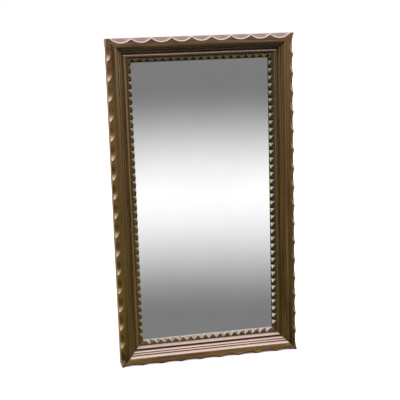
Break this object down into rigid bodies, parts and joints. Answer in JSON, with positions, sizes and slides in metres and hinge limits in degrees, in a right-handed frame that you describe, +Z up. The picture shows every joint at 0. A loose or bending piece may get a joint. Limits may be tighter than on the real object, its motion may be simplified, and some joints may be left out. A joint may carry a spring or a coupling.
{
  "type": "framed wall mirror",
  "caption": "Tall rectangular wall mirror in a mitred, carved wooden frame with a scalloped outer edge, reeded moulding and toothed inner slip, hung by swinging D-rings.",
  "frame": {"origin": "middle of the top rail's back face, on the plane that lies against the wall", "axes": "+X to the right as seen from the front, +Y into the wall, +Z up; the carved face looks along -Y"},
  "size_m": [0.566, 0.0607, 1.005],
  "materials": {
    "frame_wood": "satin lacquered brown wood",
    "slip_wood": "satin lacquered brown wood",
    "spline_wood": "bare hardwood",
    "silvered_glass": "polished silvered glass",
    "backing_board": "matt hardboard",
    "steel": "dull plated steel"
  },
  "bodies": {
    "frame": {"top_rail": "frame_wood", "bottom_rail": "frame_wood", "left_stile": "frame_wood", "right_stile": "frame_wood", "top_slip": "slip_wood", "bottom_slip": "slip_wood", "left_slip": "slip_wood", "right_slip": "slip_wood", "mitre_spline_top_left": "spline_wood", "mitre_spline_top_right": "spline_wood", "mitre_spline_bottom_left": "spline_wood", "mitre_spline_bottom_right": "spline_wood", "mirror_glass": "silvered_glass", "glass_packers": "spline_wood", "backing_board": "backing_board", "backing_brads": "steel", "slip_pins": "steel", "hanger_strap_left": "steel", "hanger_strap_right": "steel", "hanger_screws": "steel"},
    "left_ring": {"ring_left": "steel"},
    "right_ring": {"ring_right": "steel"}
  },
  "joints": [
    {"name": "left_ring_swing", "type": "hinge", "parent": "frame", "child": "left_ring", "pos_m": [-0.2605, 0.0041, -0.2275], "axis": [1, 0, 0], "range_deg": [0, 180]},
    {"name": "right_ring_swing", "type": "hinge", "parent": "frame", "child": "right_ring", "pos_m": [0.2605, 0.0041, -0.2275], "axis": [1, 0, 0], "range_deg": [0, 180]}
  ]
}
